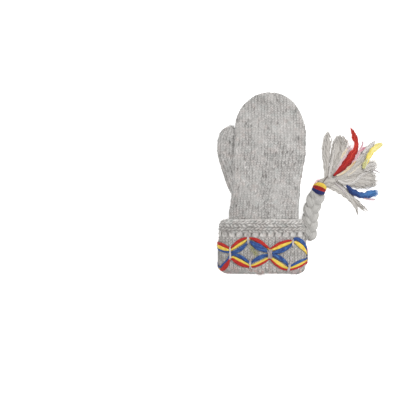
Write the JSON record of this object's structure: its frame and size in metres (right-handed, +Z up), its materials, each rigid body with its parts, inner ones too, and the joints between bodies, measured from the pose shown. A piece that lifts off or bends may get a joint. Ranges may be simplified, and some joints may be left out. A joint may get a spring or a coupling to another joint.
{
  "type": "mitten",
  "caption": "Thick knitted wool mitten lying flat, with a turned-up embroidered cuff and a plaited cord that ends in a bound tassel.",
  "frame": {"origin": "on the flat underside of the palm, midway across the hand, on the surface that the mitten lies on", "axes": "+X from the thumb side to the tassel side, +Y from the cuff to the fingertips, +Z up off the surface"},
  "size_m": [0.243, 0.2618, 0.0382],
  "materials": {
    "body_wool": "light grey felted wool knit, matt and slightly hairy",
    "cuff_wool": "light grey wool in coarser stitches, matt and slightly hairy",
    "plait_wool": "light grey loose wool yarn, matt",
    "red_yarn": "soft thick red wool yarn, matt",
    "yellow_yarn": "soft thick yellow wool yarn, matt",
    "blue_yarn": "soft thick blue wool yarn, matt"
  },
  "bodies": {
    "root": {"hand": "body_wool", "thumb": "body_wool", "cuff": "cuff_wool", "yarn_upper_red": "red_yarn", "yarn_upper_yellow": "yellow_yarn", "yarn_upper_blue": "blue_yarn", "yarn_lower_red": "red_yarn", "yarn_lower_yellow": "yellow_yarn", "yarn_lower_blue": "blue_yarn", "plait_strand_1": "plait_wool", "plait_strand_2": "plait_wool", "plait_strand_3": "plait_wool", "binding_blue": "blue_yarn", "binding_red": "red_yarn", "binding_yellow": "yellow_yarn", "tassel": "plait_wool", "tassel_lock_red": "red_yarn", "tassel_lock_yellow": "yellow_yarn", "tassel_lock_blue": "blue_yarn"}
  },
  "joints": []
}
